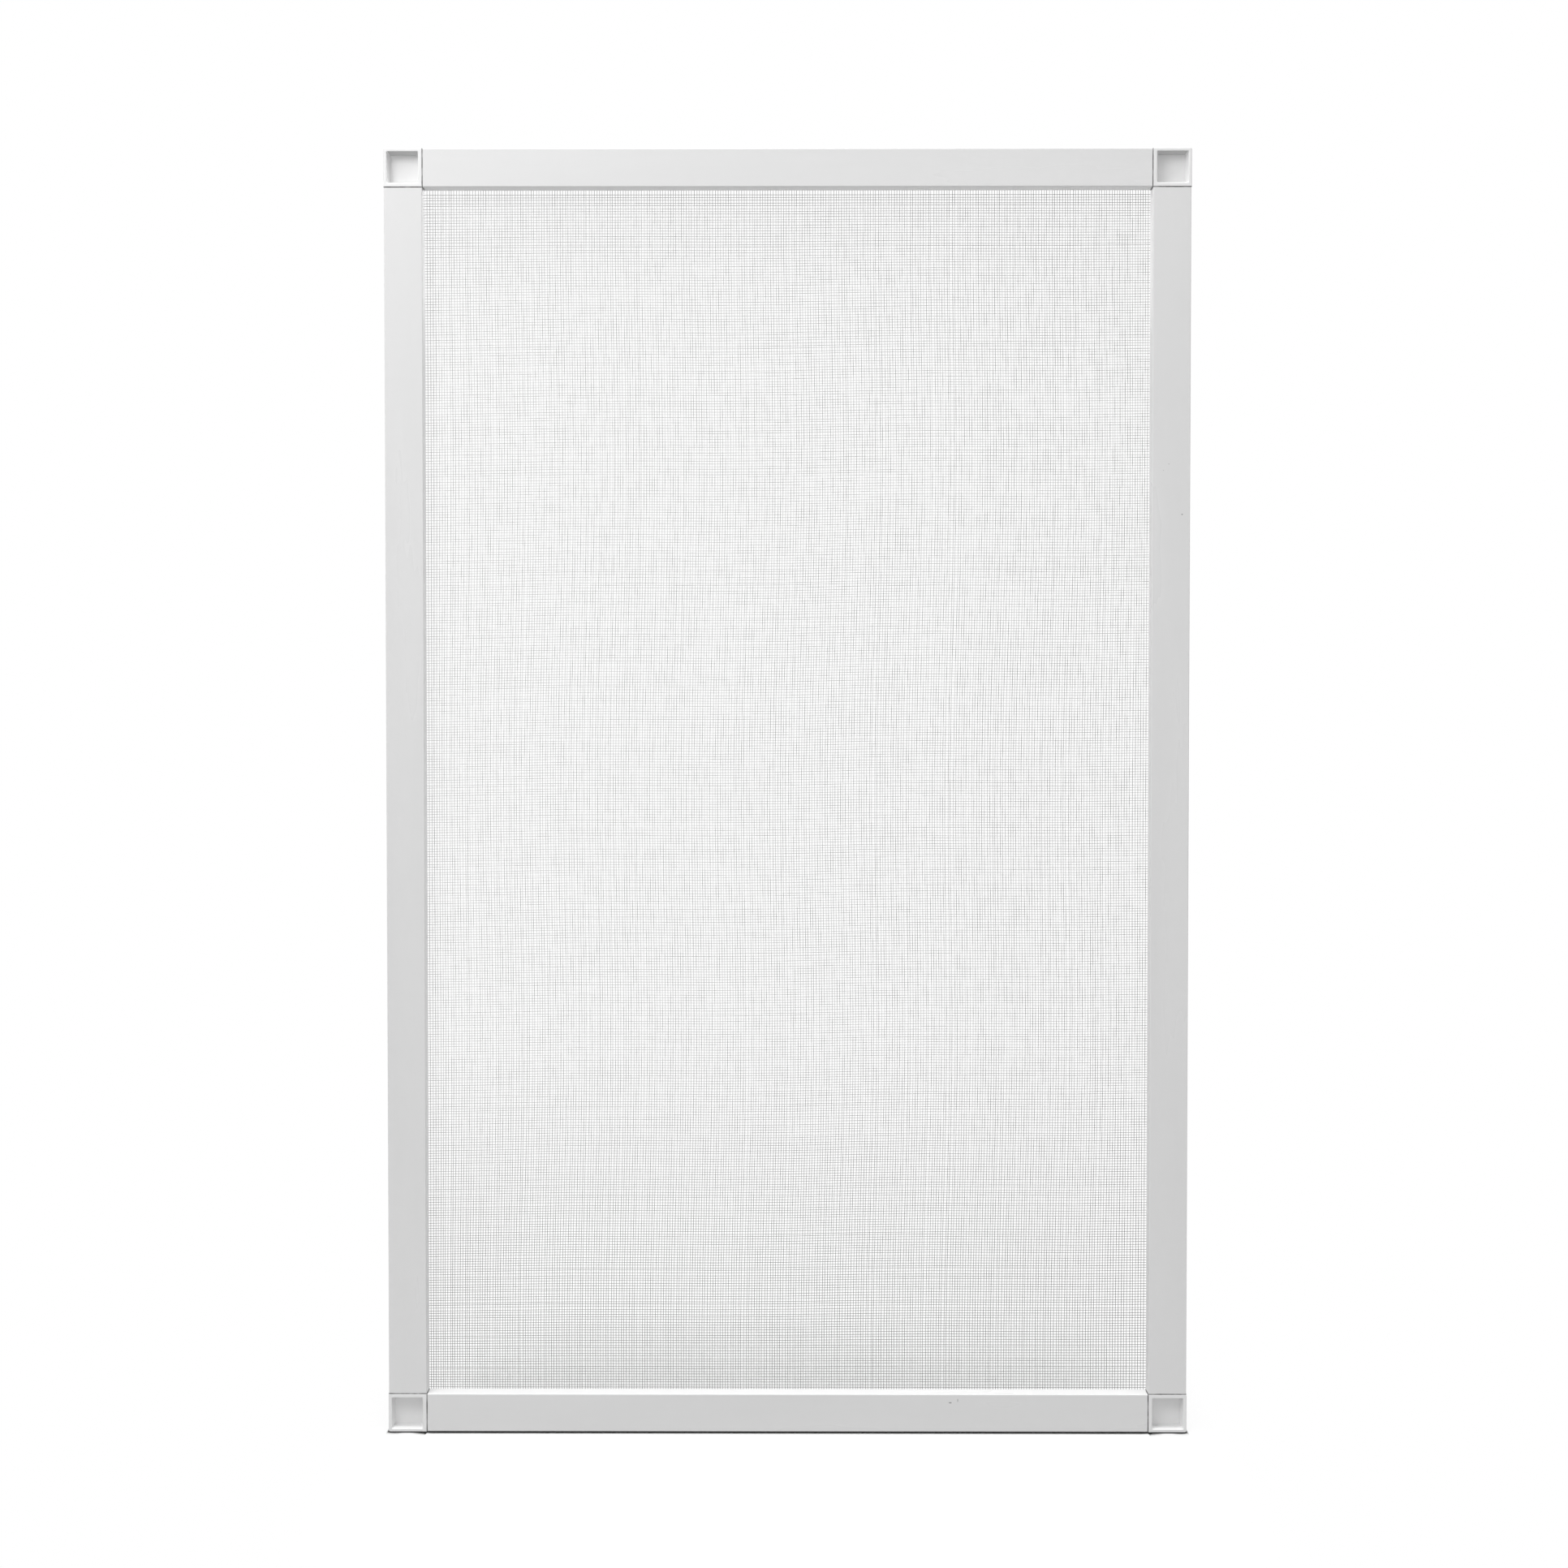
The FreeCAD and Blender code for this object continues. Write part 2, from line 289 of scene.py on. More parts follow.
def coated_surface(name, light, dark, rough, grain, dust, dust_colour, bump):
    """A material with tone, grain and dust; returns it with its tree, shader and colour."""
    material = bpy.data.materials.new(name)
    material.use_nodes = True
    tree = material.node_tree
    shader = tree.nodes["Principled BSDF"]
    grained = place_group(tree, coat_grain, **grain)
    dusty = place_group(tree, thin_dust, **dust)
    colour = mix_colour(tree, grained.outputs["Tone"], dark, light)
    colour = mix_colour(tree, dusty.outputs["Mask"], colour, dust_colour)
    roughness = add_node(tree, "ShaderNodeMapRange",
                         inputs={"Value": grained.outputs["Tone"],
                                 "To Min": rough[1], "To Max": rough[0]})
    tree.links.new(roughness.outputs[0], shader.inputs["Roughness"])
    ripple = add_node(tree, "ShaderNodeBump",
                      inputs={"Height": grained.outputs["Height"],
                              "Strength": bump[0], "Distance": bump[1]})
    tree.links.new(ripple.outputs[0], shader.inputs["Normal"])
    tree.links.new(colour, shader.inputs["Base Color"])
    return material, tree, shader, colour


def dress(nodes, material):
    """Gives the named pieces of the frame one material."""
    for node in nodes:
        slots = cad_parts[node].data.materials
        slots.clear()
        slots.append(material)


print("plan for a coated surface ready")

# %% [markdown]
# The members are rolled or extruded aluminium under a satin white paint. The paint
# hides the metal, so it is a plain dielectric, not a metal. Long faint lines run along
# each member from the die, so the rails and the stiles need the same paint with its
# pattern stretched a different way. The photo also shows a small smudge and a scratch
# on the bottom rail and a few specks on the right stile; they stay.

# %% Satin paint for the members
PAINT_LIGHT, PAINT_DARK = grey(0.81), grey(0.785)
PAINT_ROUGH = (0.26, 0.32)
FRONT_Y = -0.0055
MARK_COLOUR, GRIME_COLOUR = grey(0.16), grey(0.06)
NO_JOINT = 9.0
MARKS = [  # centre, half size, raggedness, strength
    ((0.1020, FRONT_Y, 0.0187), (0.0014, 0.002, 0.0006), 0.7, 0.75),
    ((0.1067, FRONT_Y, 0.0202), (0.0003, 0.002, 0.0012), 0.3, 0.6),
    ((0.2447, FRONT_Y, 0.5738), (0.0006, 0.002, 0.0006), 0.5, 0.7),
    ((0.2364, FRONT_Y, 0.6050), (0.0005, 0.002, 0.0004), 0.6, 0.4),
    ((0.2330, FRONT_Y, 0.6010), (0.0003, 0.002, 0.0004), 0.6, 0.4),
]


def satin_paint(name, stretch, half_width, half_height):
    """The paint with its lines along one direction and dirt at the given joints."""
    grain = {"Fine_Scale": 1100.0, "Broad_Scale": 26.0, "Stretch": stretch}
    dust = {"Everywhere": 0.10, "On_Ledges": 0.12, "Scale": 90.0}
    material, tree, shader, colour = coated_surface(
        name, PAINT_LIGHT, PAINT_DARK, PAINT_ROUGH, grain, dust, grey(0.72), (0.12, 0.00015))
    for centre, half_size, ragged, strength in MARKS:
        mark = place_group(tree, spot_mark, Centre=centre, Half_Size=half_size,
                           Ragged=ragged, Strength=strength)
        colour = mix_colour(tree, mark.outputs["Mask"], colour, MARK_COLOUR)
    crack = place_group(tree, joint_grime, Half_Width=half_width, Half_Height=half_height)
    colour = mix_colour(tree, crack.outputs["Mask"], colour, GRIME_COLOUR)
    tree.links.new(colour, shader.inputs["Base Color"])
    return material


rail_paint = satin_paint("satin_paint_along_rails", (0.12, 1.0, 1.0), JOINT_X, NO_JOINT)
stile_paint = satin_paint("satin_paint_along_stiles", (1.0, 1.0, 0.12), NO_JOINT, JOINT_Z)
dress(("top_rail", "bottom_rail"), rail_paint)
dress(("left_stile", "right_stile"), stile_paint)
print("marks on the paint:", len(MARKS))

# %% [markdown]
# The corners are moulded in a whiter plastic, and in the photo they are a shade
# brighter than the paint beside them. The mould leaves a fine even texture, and dust
# gathers on the floors of the pockets and on the faces that look up. What faces down,
# such as the wall under the upper rim of each pocket, is greyed: painted shade.

# %% Moulded plastic for the corners
CORNERS = [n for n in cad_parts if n.startswith("corner_")]
corner_plastic, tree, shader, colour = coated_surface(
    "moulded_plastic_of_corners", grey(0.88), grey(0.855), (0.38, 0.46),
    {"Fine_Scale": 1900.0, "Broad_Scale": 60.0, "Stretch": (1, 1, 1)},
    {"Everywhere": 0.08, "On_Ledges": 0.15, "Scale": 160.0}, grey(0.76), (0.10, 0.0001))
surface = add_node(tree, "ShaderNodeNewGeometry")
facing = add_node(tree, "ShaderNodeSeparateXYZ", inputs={0: surface.outputs["Normal"]})
# Painted shade: faces that look down, such as the wall under each pocket's upper rim, are greyed.
painted_shade_facing_down = add_node(tree, "ShaderNodeMapRange",
                   inputs={"Value": facing.outputs["Z"], "From Min": -0.75, "From Max": -0.95})
colour = mix_colour(tree, painted_shade_facing_down.outputs[0], colour, grey(0.55))
crack = place_group(tree, joint_grime)
colour = mix_colour(tree, crack.outputs["Mask"], colour, GRIME_COLOUR)
tree.links.new(colour, shader.inputs["Base Color"])
dress(CORNERS, corner_plastic)
print("corners:", sorted(CORNERS))

# %% [markdown]
# The spline is a soft ribbed cord of grey vinyl, pressed into the channel at the back
# over the edge of the mesh. It is matt, slightly mottled where it was rolled in, and
# picks up more dust than the paint does.

# %% Matt vinyl for the splines
SPLINES = [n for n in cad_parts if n.startswith("spline_")]
spline_vinyl, tree, shader, colour = coated_surface(
    "matt_vinyl_of_splines", grey(0.62), grey(0.55), (0.55, 0.68),
    {"Fine_Scale": 1500.0, "Broad_Scale": 140.0, "Stretch": (1, 1, 1)},
    {"Everywhere": 0.16, "On_Ledges": 0.2, "Scale": 260.0}, grey(0.45), (0.18, 0.0001))
dress(SPLINES, spline_vinyl)
print("splines:", sorted(SPLINES))

# %% [markdown]
# The mesh is woven from glass-fibre thread in a white vinyl coat. Upright threads, the
# warp, lie in front, and the level ones, the weft, behind; heat welds them where they
# cross. A picture of a grid on a flat sheet would look right only from far away, so
# each thread is a thin tube of its own. They are never quite straight: pulled into the
# frame by hand, the warp sways by a millimetre or two on its way up and the weft
# climbs a little from left to right. The slow waves below follow what the photo shows.

# %% Measure where the mesh lies
MM = 0.001
MEMBER_MM = 24.0
HALF_DEPTH_MM = 5.5
HALF_OPENING_X = 226.0
OPENING_LOW_Z, OPENING_HIGH_Z = 24.0, 776.0
MIDDLE_Z = 0.5 * (OPENING_LOW_Z + OPENING_HIGH_Z)
HALF_OPENING_Z = 0.5 * (OPENING_HIGH_Z - OPENING_LOW_Z)
THREAD_MM = 0.30
HALF = 0.5 * THREAD_MM
FRONT_OF_WARP, BACK_OF_WEFT = 4.84, 5.40
WARP_Y = FRONT_OF_WARP + HALF
WEFT_Y = BACK_OF_WEFT - HALF
WARP_PITCH, WEFT_PITCH = 1.64, 1.67
screen_low, screen_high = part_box("insect_screen")
print("mesh solid, mm:", [round(1000 * x, 2) for x in (*screen_low, *screen_high)])

# %% [markdown]
# Each end of a thread bends over the lip of the member, runs down beside the spline,
# under it, and up its far side. The table gives those points as distances in from the
# outer edge of the frame and back from its front face, for the thread's centre. The warp
# follows the outer face of the tucked mesh, against the channel, and the weft its inner
# face, against the spline.

# %% Where thread ends are tucked in
TAIL_DEEP = 9.3
OUTER_LIP, OUTER_FLOOR, OUTER_FAR = 22.7, 6.14, 17.78
INNER_LIP, INNER_FLOOR, INNER_FAR = 22.14, 6.70, 18.34


def tuck_points(flat_deep, lip_across, floor_deep, far_across):
    """(across, deep) from the edge of the opening into the channel, in millimetres."""
    return [(lip_across + 0.55, flat_deep), (lip_across + 0.06, flat_deep - 0.2),
            (lip_across, floor_deep + 0.4), (far_across + 0.1, floor_deep), (far_across, TAIL_DEEP)]


WARP_TUCK = tuck_points(WARP_Y + HALF_DEPTH_MM,
                        OUTER_LIP - HALF, OUTER_FLOOR + HALF, OUTER_FAR + HALF)
WEFT_TUCK = tuck_points(WEFT_Y + HALF_DEPTH_MM,
                        INNER_LIP + HALF, INNER_FLOOR - HALF, INNER_FAR - HALF)
print("tucked length of a thread end, mm:",
      round(sum(math.dist(a, b) for a, b in zip(WARP_TUCK, WARP_TUCK[1:])), 1))

# %% [markdown]
# A thread's place is its own number times the pitch, plus the slow waves that it
# shares with its neighbours, plus a small error of its own. The waves fade out near
# the frame, which holds the outermost threads straight. A fixed seed makes the small
# errors the same on every run.

# %% Slow waves of the weave
LEAN_PER_MM, SWAY_MM, SWAY_LENGTH, SWAY_CREST_Z = 0.0057, 1.2, 358.0, 593.0
CLIMB_PER_MM, RIPPLE_MM, RIPPLE_LENGTH, RIPPLE_START_X = 0.0085, 0.5, 212.0, 27.0
rng = np.random.default_rng(41)


def held_by_frame(offset, half):
    """1 in the middle of the opening, falling to 0 at the frame."""
    return 1.0 - np.clip(np.abs(offset) / half, 0.0, 1.0) ** 8


def warp_sway(x, z):
    """How far an upright thread leans to the right at height z, in millimetres."""
    lean = LEAN_PER_MM * (z - MIDDLE_Z)
    wave = SWAY_MM * np.cos(2 * np.pi * (z - SWAY_CREST_Z) / SWAY_LENGTH)
    return held_by_frame(x, HALF_OPENING_X) * (lean + wave)


def weft_climb(x, z):
    """How far a level thread has climbed at x, in millimetres."""
    climb = CLIMB_PER_MM * x
    wave = RIPPLE_MM * np.sin(2 * np.pi * (x - RIPPLE_START_X) / RIPPLE_LENGTH)
    return held_by_frame(z - MIDDLE_Z, HALF_OPENING_Z) * (climb + wave)


print("sway at mid height, mm:", round(float(warp_sway(0.0, MIDDLE_Z)), 2),
      " climb at the right, mm:", round(float(weft_climb(200.0, MIDDLE_Z)), 2))

# %% [markdown]
# The pitch of the weft also drifts by a percent or two with height, because the mesh
# was pulled tighter in some places than in others. Adding up a pitch that changes
# slowly gives each level thread its height.

# %% Place the threads
EDGE_SPACE = 0.9
DRIFT_SHARE, DRIFT_LENGTH, DRIFT_START_Z = 0.018, 900.0, 460.0
warp_count = int((2 * (HALF_OPENING_X - EDGE_SPACE)) // WARP_PITCH) + 1
warp_x = (np.arange(warp_count) - 0.5 * (warp_count - 1)) * WARP_PITCH
weft_z = [OPENING_LOW_Z + EDGE_SPACE]
while weft_z[-1] < OPENING_HIGH_Z - EDGE_SPACE - WEFT_PITCH:
    turns = (weft_z[-1] - DRIFT_START_Z) / DRIFT_LENGTH
    drift = 1.0 + DRIFT_SHARE * math.sin(2 * math.pi * turns)
    weft_z.append(weft_z[-1] + WEFT_PITCH * drift)
weft_z = np.array(weft_z)
print("warp threads:", warp_count, " weft threads:", len(weft_z))

# %% [markdown]
# All threads of one direction have the same number of points, so one array holds them
# all: thread, point along it, and x, y, z. Its tucked ends come from the table, and
# the points between are spread evenly over the opening.

# %% Centre lines of the threads
WARP_POINTS, WEFT_POINTS = 18, 9
WARP_ERROR, WEFT_ERROR = 0.10, 0.08


def ends_and_middle(tuck, low, high, count):
    """Distances along the run and depths, from one tucked end to the other."""
    first = [(low - MEMBER_MM + across, deep - HALF_DEPTH_MM) for across, deep in reversed(tuck)]
    last = [(high + MEMBER_MM - across, deep - HALF_DEPTH_MM) for across, deep in tuck]
    places = np.linspace(first[-1][0], last[0][0], count + 2)[1:-1]
    middle = [(place, first[-1][1]) for place in places]
    run, depth = np.array(first + middle + last).T
    return run, depth


def own_wander(threads, points, size):
    """Small smooth errors of each thread: a shift and one slow bend, in millimetres."""
    along = np.linspace(0.0, 1.0, points)[None, :]
    turns = rng.uniform(1.5, 5.0, (threads, 1))
    phase = rng.uniform(0, 2 * np.pi, (threads, 1))
    shift = np.clip(rng.normal(0.0, size, (threads, 1)), -2 * size, 2 * size)
    return shift + 0.6 * size * np.sin(2 * np.pi * turns * along + phase)


run_z, depth = ends_and_middle(WARP_TUCK, OPENING_LOW_Z, OPENING_HIGH_Z, WARP_POINTS)
z = np.broadcast_to(run_z, (warp_count, len(run_z)))
x = warp_x[:, None] + warp_sway(warp_x[:, None], np.clip(z, OPENING_LOW_Z, OPENING_HIGH_Z))
x = x + own_wander(warp_count, len(run_z), WARP_ERROR)
x = np.clip(x, EDGE_SPACE - HALF_OPENING_X, HALF_OPENING_X - EDGE_SPACE)
warp_lines = np.stack([x, np.broadcast_to(depth, z.shape), z], axis=2)

run_x, depth = ends_and_middle(WEFT_TUCK, -HALF_OPENING_X, HALF_OPENING_X, WEFT_POINTS)
x = np.broadcast_to(run_x, (len(weft_z), len(run_x)))
z = weft_z[:, None] + weft_climb(np.clip(x, -HALF_OPENING_X, HALF_OPENING_X), weft_z[:, None])
z = z + own_wander(len(weft_z), len(run_x), WEFT_ERROR)
z = np.clip(z, OPENING_LOW_Z + EDGE_SPACE, OPENING_HIGH_Z - EDGE_SPACE)
weft_lines = np.stack([x, np.broadcast_to(depth, x.shape), z], axis=2)
print("points on the warp:", warp_lines.shape[:2], " on the weft:", weft_lines.shape[:2])

# %% [markdown]
# A curve with a round bevel would make a tube too, but seven hundred curves are slow
# and heavy. Here every ring of six points is worked out at once: one axis of the ring
# stays level (or upright), and the other is square to it and to the thread. The tubes
# also get a flat map with one row for each thread, so that colours can be baked for
# them: unwrapping them by angle would scatter thousands of slivers over the map.

# %% Turn centre lines into tubes
RING = 6


def tubes(lines, steady, widths):
    """Points, quads and end caps of six-sided tubes along the given lines."""
    threads, points, _ = lines.shape
    along = np.gradient(lines, axis=1)
    along /= np.linalg.norm(along, axis=2, keepdims=True)
    across = np.cross(along, steady)
    across /= np.linalg.norm(across, axis=2, keepdims=True)
    angle = 2 * np.pi * (np.arange(RING) + 0.5) / RING
    ring = np.cos(angle)[:, None] * steady + np.sin(angle)[:, None] * across[:, :, None]
    places = lines[:, :, None] + 0.5 * widths[:, None, None, None] * ring
    start = np.arange(threads)[:, None, None] * points * RING
    step = np.arange(points - 1)[None, :, None] * RING
    side = np.arange(RING)[None, None, :]
    after = (side + 1) % RING
    corners = [start + step + side, start + step + after,
               start + step + RING + after, start + step + RING + side]
    quads = np.stack([np.broadcast_to(c, (threads, points - 1, RING)) for c in corners], axis=3)
    first_caps = (start + side[:, :, ::-1])[:, 0]
    last_caps = (start + (points - 1) * RING + side)[:, 0]
    return places.reshape(-1, 3), quads.reshape(-1, 4), np.concatenate([first_caps, last_caps])


warp_width = THREAD_MM * rng.uniform(0.95, 1.08, warp_count)
weft_width = THREAD_MM * rng.uniform(0.92, 1.05, len(weft_z))
warp_tubes = tubes(warp_lines, np.array([1.0, 0.0, 0.0]), warp_width)
weft_tubes = tubes(weft_lines, np.array([0.0, 0.0, 1.0]), weft_width)
print("points:", len(warp_tubes[0]) + len(weft_tubes[0]))

# %% [markdown]
# The two sets become one mesh, because the real mesh is one piece of cloth. One number
# on every point says how light its thread is, since no two bundles of fibre take the
# coating quite alike, and another says whether the thread is an upright one.

# %% Build the woven mesh
ROW_FILL, CAP_ROW = 0.8, 0.9
OWN_SPREAD, SLOW_SPREAD, SLOW_ANGLE = 0.25, 0.25, 9.0


def row_map(threads, points, first_row, rows):
    """Flat map of the quads of a set of tubes: along the row, and round the tube across it."""
    step = np.arange(points - 1)[None, :, None]
    row = (first_row + np.arange(threads))[:, None, None]
    side = np.arange(RING)[None, None, :]
    corners = []
    for more_along, more_round in ((0, 0), (0, 1), (1, 1), (1, 0)):
        along = (step + more_along) / (points - 1)
        across = (row + ROW_FILL * (side + more_round) / RING) / rows
        corners.append(np.stack(np.broadcast_arrays(along, across), axis=3))
    return np.stack(corners, axis=3).reshape(-1, 2)


def thread_shades(lines):
    """How light each point's thread is, from 0 to 1: one shade of its own and a slow change."""
    threads, points, _ = lines.shape
    own = rng.normal(0.0, OWN_SPREAD, (threads, 1))
    phase = rng.uniform(0, 2 * np.pi, (threads, 1))
    slow = SLOW_SPREAD * np.sin(np.linspace(0, SLOW_ANGLE, points)[None, :] + phase)
    return np.repeat(np.clip(0.5 + own + slow, 0.0, 1.0), RING, axis=1).ravel()


def point_values(name, values):
    """Stores one number on every point of the weave."""
    layer = weave_mesh.attributes.new(name, "FLOAT", "POINT")
    layer.data.foreach_set("value", values.astype(np.float32))


shift = len(warp_tubes[0])
places = np.concatenate([warp_tubes[0], weft_tubes[0]]) * MM
quads = np.concatenate([warp_tubes[1], weft_tubes[1] + shift])
caps = np.concatenate([warp_tubes[2], weft_tubes[2] + shift])
weave_mesh = bpy.data.meshes.new("insect_screen_weave")
weave_mesh.from_pydata(places.tolist(), [], quads.tolist() + caps.tolist())
weave_mesh.polygons.foreach_set("use_smooth", [True] * len(quads) + [False] * len(caps))
row_count = warp_count + len(weft_z)
flat_map = np.concatenate([row_map(*warp_lines.shape[:2], 0, row_count),
                           row_map(*weft_lines.shape[:2], warp_count, row_count)])
cap_across = np.concatenate([np.arange(warp_count), np.arange(warp_count),
                             np.arange(warp_count, row_count), np.arange(warp_count, row_count)])
cap_across = np.repeat((cap_across + CAP_ROW) / row_count, RING)
cap_map = np.stack([np.full(len(cap_across), 0.5), cap_across], axis=1)
bake_map = weave_mesh.uv_layers.new(name="OFBake")
bake_map.data.foreach_set("uv", np.concatenate([flat_map, cap_map]).astype(np.float32).ravel())
point_values("thread_shade", np.concatenate([thread_shades(warp_lines), thread_shades(weft_lines)]))
point_values("upright_thread", np.repeat([1.0, 0.0], [len(warp_tubes[0]), len(weft_tubes[0])]))
weave_mesh.update()
weave = bpy.data.objects.new("insect_screen_weave", weave_mesh)
scene.collection.objects.link(weave)
print("triangles:", 2 * len(quads) + (RING - 2) * len(caps))

# %% [markdown]
# Coated thread is a soft white, greyer than the paint, with a dull shine. The number
# stored on each thread moves its tone, and a fine grain roughens the coat. The lowest
# part of the mesh is greyer in the photo, so the colour darkens over the last quarter of
# a metre. The photo's mesh also greys a little from left to right, following the fall of
# light across the frame; that greying is painted shade.

# %% Coated thread
# The grey below darkens the threads towards the right, which is painted shade, and towards the bottom.
DARKENING_GREY = grey(0.18)
DARKENING_TOP_Z, DARKENING_FOOT_Z, DARKENING_SHARE = 0.27, 0.03, 0.78
PAINTED_SHADE_AT_RIGHT = 0.16
thread_coat, tree, shader, colour = coated_surface(
    "white_coated_thread", grey(0.80), grey(0.75), (0.45, 0.55),
    {"Fine_Scale": 2600.0, "Broad_Scale": 45.0, "Stretch": (1, 1, 1)},
    {"Everywhere": 0.08, "On_Ledges": 0.1, "Scale": 70.0}, grey(0.55), (0.1, 0.00004))
own_shade = add_node(tree, "ShaderNodeAttribute", attribute_name="thread_shade")
colour = mix_colour(tree, own_shade.outputs["Fac"], grey(0.62), colour)
place = add_node(tree, "ShaderNodeTexCoord")
where = add_node(tree, "ShaderNodeSeparateXYZ", inputs={0: place.outputs["Object"]})


def left_to_right(at_left, at_right):
    """A value that changes evenly across the opening."""
    return add_node(tree, "ShaderNodeMapRange",
                    inputs={"Value": where.outputs["X"], "From Min": -HALF_OPENING_X * MM,
                            "From Max": HALF_OPENING_X * MM,
                            "To Min": at_left, "To Max": at_right}).outputs[0]


# The threads darken towards the bottom of the mesh.
darker_toward_bottom = add_node(tree, "ShaderNodeMapRange", interpolation_type="SMOOTHSTEP",
                       inputs={"Value": where.outputs["Z"], "From Min": DARKENING_TOP_Z,
                               "From Max": DARKENING_FOOT_Z, "To Max": DARKENING_SHARE})
# Painted shade: the threads grey towards the right.
colour = mix_colour(tree, left_to_right(0.0, PAINTED_SHADE_AT_RIGHT), colour, DARKENING_GREY)
colour = mix_colour(tree, darker_toward_bottom.outputs[0], colour, DARKENING_GREY)
print("thread finish so far:", len(tree.nodes), "nodes")

# %% [markdown]
# In the photo short stretches of single threads are darker, more of them upright than
# level, and more to the right than to the left. A noise that is squeezed across the
# threads and drawn out along them gives such streaks: it changes from one thread to the
# next, but slowly along each. The streaks are the threads' own tone, but their growth
# in strength towards the right is painted shade.

# %% Streaks along single threads
ACROSS, ALONG = 700.0, 60.0
LEVEL_SHARE, UPRIGHT_SHARE = 0.6, 1.0
LEFT_SHARE, RIGHT_SHARE = 0.5, 0.85
STREAK_COLOUR, STREAK_FROM, STREAK_FULL = grey(0.33), 0.44, 0.62
is_upright = add_node(tree, "ShaderNodeAttribute", attribute_name="upright_thread")
squeeze = mix_colour(tree, is_upright.outputs["Fac"],
                     (ALONG, 1.0, ACROSS, 1.0), (ACROSS, 1.0, ALONG, 1.0))
drawn_out = add_node(tree, "ShaderNodeVectorMath", operation="MULTIPLY",
                     inputs={0: place.outputs["Object"], 1: squeeze})
streaks = add_node(tree, "ShaderNodeTexNoise",
                   inputs={"Vector": drawn_out.outputs[0], "Scale": 1.0, "Detail": 1.0})
strongest = add_node(tree, "ShaderNodeMapRange",
                     inputs={"Value": is_upright.outputs["Fac"],
                             "To Min": LEVEL_SHARE, "To Max": UPRIGHT_SHARE})
# Painted shade: the streaks grow stronger towards the right.
strength = add_node(tree, "ShaderNodeMath", operation="MULTIPLY",
                    inputs={0: strongest.outputs[0], 1: left_to_right(LEFT_SHARE, RIGHT_SHARE)})
streak = add_node(tree, "ShaderNodeMapRange", interpolation_type="SMOOTHSTEP",
                  inputs={"Value": streaks.outputs[0], "From Min": STREAK_FROM,
                          "From Max": STREAK_FULL, "To Max": strength.outputs[0]})
colour = mix_colour(tree, streak.outputs[0], colour, STREAK_COLOUR, blend="MULTIPLY")
tree.links.new(colour, shader.inputs["Base Color"])
weave_mesh.materials.append(thread_coat)
print("thread finish:", len(tree.nodes), "nodes")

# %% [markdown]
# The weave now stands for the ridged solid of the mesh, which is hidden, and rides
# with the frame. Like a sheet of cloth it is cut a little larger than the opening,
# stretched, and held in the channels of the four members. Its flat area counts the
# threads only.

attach(weave, "root")
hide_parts("insect_screen")

# %% [markdown]
# The screen stands on a plain white floor. To the camera the floor is white a step
# away from the object and keeps the object's shadow near it. For light that bounces
# off it the floor is a mid grey, so that it doesn't light the frame from below.

# %% White floor
FLOOR_HALF = 9.0
floor_corners = [(FLOOR_HALF * x, FLOOR_HALF * y, 0) for x, y in ((-1, -1), (1, -1), (1, 1), (-1, 1))]
floor_mesh = bpy.data.meshes.new("floor")
floor_mesh.from_pydata(floor_corners, [], [(0, 1, 2, 3)])
floor = bpy.data.objects.new("floor", floor_mesh)
scene.collection.objects.link(floor)


def seen_directly(tree):
    """1 for rays from the camera, and for those that a glossy or clear surface sends on."""
    ray = add_node(tree, "ShaderNodeLightPath")
    either = add_node(tree, "ShaderNodeMath", operation="MAXIMUM",
                      inputs={0: ray.outputs["Is Camera Ray"], 1: ray.outputs["Is Glossy Ray"]})
    any_of_them = add_node(tree, "ShaderNodeMath", operation="MAXIMUM",
                           inputs={0: either.outputs[0], 1: ray.outputs["Is Transmission Ray"]})
    return any_of_them.outputs[0]


print("floor, m:", 2 * FLOOR_HALF)

# %% [markdown]
# A thin dark line lies along the foot of the frame, where light can't get in. The
# ambient occlusion node finds that line by itself: it is low where something stands
# close by, and a little is taken off under the corners, where the photo's line is as
# dark though they stand right on the floor. The floor near the screen is partly lit by
# the lamps, so that it keeps a soft shadow, and partly a plain white of its own. Two
# slow ramps, one sideways and one front to back, then lead it over to plain white
# alone. A plain mix of the two would leave a faint line where the lit part stops, since
# the denoiser treats lit and glowing surfaces differently. So they are mixed like salt
# and pepper, in grains far smaller than a pixel.

# %% Shade at the foot, white further off
END_X, END_EDGE = 0.25, 0.0015
CORNER_X, CORNER_EDGE = 0.2255, 0.0007
CONTACT_REACH, TAKEN_OFF_AT_CORNERS = 0.009, -0.16
SHADED_BELOW, OPEN_ABOVE, DARKEST = 0.62, 0.76, 0.02
SIDE_FADE = (END_X - 0.12, END_X + 0.03)
BACK_FADE = (0.3, 0.75)
LIT_WHITE, OWN_WHITE, BOUNCE_GREY = 0.82, 0.55, 0.5
GRAINS_PER_M = 1e5


def distance_ramp(tree, distance, start, end):
    """0 up to a distance of start from the middle of the screen, 1 from end on."""
    size = add_node(tree, "ShaderNodeMath", operation="ABSOLUTE", inputs={0: distance})
    ramp = add_node(tree, "ShaderNodeMapRange", interpolation_type="SMOOTHSTEP",
                    inputs={"Value": size.outputs[0], "From Min": start, "From Max": end})
    return ramp.outputs[0]


